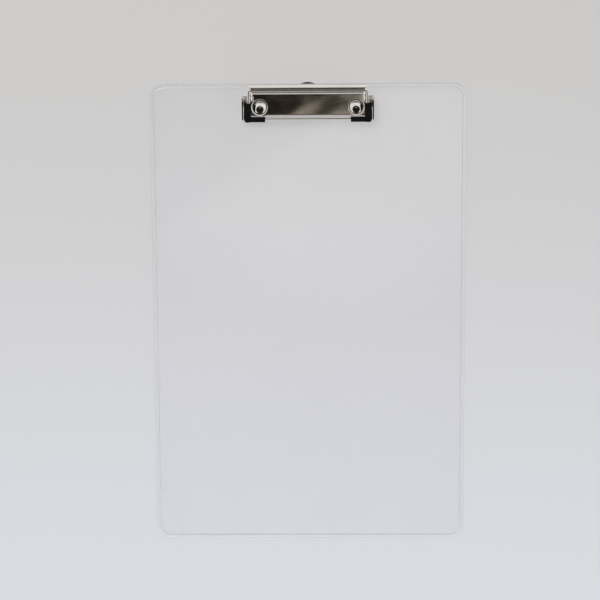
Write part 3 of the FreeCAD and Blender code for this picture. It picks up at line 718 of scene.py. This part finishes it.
class CLIPBOARD_OT_springs(DressOperator):
    """Wind the torsion springs, which twist between the base plate and the wire's arms"""
    bl_idname = "clipboard.springs"
    bl_label = "Torsion springs"

    def execute(self, context):
        clip = self.clip
        points = spring_points(clip)
        for side, sign in (("left", -1.0), ("right", 1.0)):
            mesh = grid_mesh(f"wound_spring_{side}", points * [sign, 1.0, 1.0])
            spring = add_piece(f"wound_spring_{side}", mesh, finish_for("steel"),
                               f"torsion_spring_{side}")
            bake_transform(spring)
        return {"FINISHED"}


class CLIPBOARD_OT_sleeves(DressOperator):
    """Mould the rubber sleeves over the jaw's corners"""
    bl_idname = "clipboard.sleeves"
    bl_label = "Corner sleeves"

    def execute(self, context):
        points = sleeve_points(self.clip)
        for side, sign in (("left", -1.0), ("right", 1.0)):
            mesh = grid_mesh(f"moulded_sleeve_{side}", points * [sign, 1.0, 1.0])
            add_piece(f"moulded_sleeve_{side}", mesh, finish_for("rubber"),
                      f"corner_sleeve_{side}", "lever")
        return {"FINISHED"}


class CLIPBOARD_OT_stage(DressOperator):
    """Set the floor, the sky, the lamps and the camera"""
    bl_idname = "clipboard.stage"
    bl_label = "Stage"

    def execute(self, context):
        scene, stage = context.scene, context.scene.clipboard_stage
        mesh = bpy.data.meshes.new("floor")
        half = 6.0
        corners = [(-half, -half, 0), (half, -half, 0), (half, half, 0), (-half, half, 0)]
        mesh.from_pydata(corners, [], [(0, 1, 2, 3)])
        floor = bpy.data.objects.new("floor", mesh)
        floor.location.z = -0.0003
        scene.collection.objects.link(floor)
        mesh.materials.append(self.floor_material(stage))
        self.sky(scene, stage)
        self.lamps(scene, stage)
        self.camera(scene, stage)
        scene.view_settings.view_transform = "Standard"
        return {"FINISHED"}

    def floor_material(self, stage):
        """Pale paper: mostly unshaded where it is looked at, with a painted light falloff from lighter on the
        user's side to darker beyond the clip; the lit rest keeps the shadows.
        """
        material, g = new_material("Pale paper floor")
        seen = g.add("ShaderNodeLightPath", out="Is Camera Ray")
        mirrored = g.add("ShaderNodeLightPath", out="Is Glossy Ray")
        through = g.add("ShaderNodeLightPath", out="Is Transmission Ray")
        fibre = g.noise(g.place(), 9.0, 2.0)
        # painted light falloff: the floor's colour goes from lighter near the user to darker beyond the clip
        painted_falloff = g.add("ShaderNodeSeparateXYZ", {}, g.place(), out="Y").step(-0.30, 0.26)
        shade = g.mix(fibre * 0.03 + painted_falloff * 0.97, rgba(stage.floor_near_painted_light), rgba(stage.floor_far_painted_shade))
        lit = g.add("ShaderNodeBsdfDiffuse", {}, shade)
        glow = g.add("ShaderNodeEmission", {}, shade, 1.0)
        factor = (seen + mirrored + through).step(0.0, 1.0) * stage.glow
        g.finish(g.add("ShaderNodeMixShader", {}, factor, lit, glow))
        return material

    def sky(self, scene, stage):
        """Even sky; mirrors see it dark overhead, with one warm patch, and bright behind the clip."""
        world = bpy.data.worlds.new("Studio sky")
        scene.world = world
        g = Graph(world)
        way = g.add("ShaderNodeTexCoord", out="Generated")
        x, y, z = (g.add("ShaderNodeSeparateXYZ", {}, way, out=axis) for axis in "XYZ")
        mirrored = g.add("ShaderNodeLightPath", out="Is Glossy Ray")
        dark = (z - 0.42 * y).step(0.86, 0.93)
        patch = (x - 1.6 * y).step(0.046, 0.078) * z.step(0.985, 0.996)
        overhead = g.mix(patch, rgba((0.014, 0.011, 0.009)), rgba((0.52, 0.46, 0.38)))
        seen = g.mix(dark, rgba((0.88, 0.87, 0.86)), overhead)
        looked_at = g.add("ShaderNodeLightPath", out="Is Camera Ray")
        through = g.add("ShaderNodeLightPath", out="Is Transmission Ray")
        plain = g.mix((looked_at + through).step(0.0, 1.0), rgba((stage.world,) * 3), rgba(stage.backdrop))
        shade = g.mix(mirrored, plain, seen)
        g.finish(g.add("ShaderNodeBackground", {}, shade, 1.0), "ShaderNodeOutputWorld")

    def lamps(self, scene, stage):
        for name, place, size, power in (
            ("softbox", (-0.5, 0.9, 1.3), 1.0, stage.lamp),
            ("fill", (1.0, -0.8, 1.2), 1.2, stage.lamp * 0.35),
        ):
            data = bpy.data.lights.new(name, "AREA")
            data.size, data.energy = size, power
            lamp = bpy.data.objects.new(name, data)
            lamp.location = place
            lamp.rotation_euler = (-Vector(place)).to_track_quat("-Z", "Y").to_euler()
            lamp.visible_glossy = False
            scene.collection.objects.link(lamp)

    def camera(self, scene, stage):
        data = bpy.data.cameras.new("camera")
        data.sensor_width, data.lens = 36.0, stage.focal
        data.clip_start, data.clip_end = 0.05, 20.0
        camera = bpy.data.objects.new("camera", data)
        camera.location = (0.015991, 0.191107, 1.20969)
        camera.rotation_mode = "XYZ"
        camera.matrix_world = (Matrix.Translation(camera.location) @ Matrix.Rotation(-0.1482, 4, "X")
                               @ Matrix.Rotation(0.0185, 4, "Y") @ Matrix.Rotation(-0.0031, 4, "Z"))
        scene.collection.objects.link(camera)
        scene.camera = camera


class CLIPBOARD_PT_panel(bpy.types.Panel):
    """The clipboard's settings and steps"""
    bl_label = "Clipboard"
    bl_idname = "CLIPBOARD_PT_panel"
    bl_space_type = "VIEW_3D"
    bl_region_type = "UI"
    bl_category = "Clipboard"

    def draw(self, context):
        layout = self.layout
        scene = context.scene
        for settings in (scene.clipboard_board, scene.clipboard_clip, scene.clipboard_stage):
            column = layout.column(align=True)
            for name in settings.__annotations__:
                column.prop(settings, name)
        for step in STEPS:
            layout.operator(step.bl_idname)


STEPS = (CLIPBOARD_OT_board, CLIPBOARD_OT_sheet_metal, CLIPBOARD_OT_lever, CLIPBOARD_OT_fasteners,
         CLIPBOARD_OT_jaw_wire, CLIPBOARD_OT_springs, CLIPBOARD_OT_sleeves, CLIPBOARD_OT_stage)
CLASSES = (BoardSettings, ClipSettings, StageSettings, *STEPS, CLIPBOARD_PT_panel)


def register():
    for item in CLASSES:
        bpy.utils.register_class(item)
    bpy.types.Scene.clipboard_board = PointerProperty(type=BoardSettings)
    bpy.types.Scene.clipboard_clip = PointerProperty(type=ClipSettings)
    bpy.types.Scene.clipboard_stage = PointerProperty(type=StageSettings)


def unregister():
    del bpy.types.Scene.clipboard_board, bpy.types.Scene.clipboard_clip, bpy.types.Scene.clipboard_stage
    for item in reversed(CLASSES):
        bpy.utils.unregister_class(item)


def main():
    register()
    for step in STEPS:
        group, name = step.bl_idname.split(".")
        getattr(getattr(bpy.ops, group), name)()


if __name__ == "__main__":
    main()
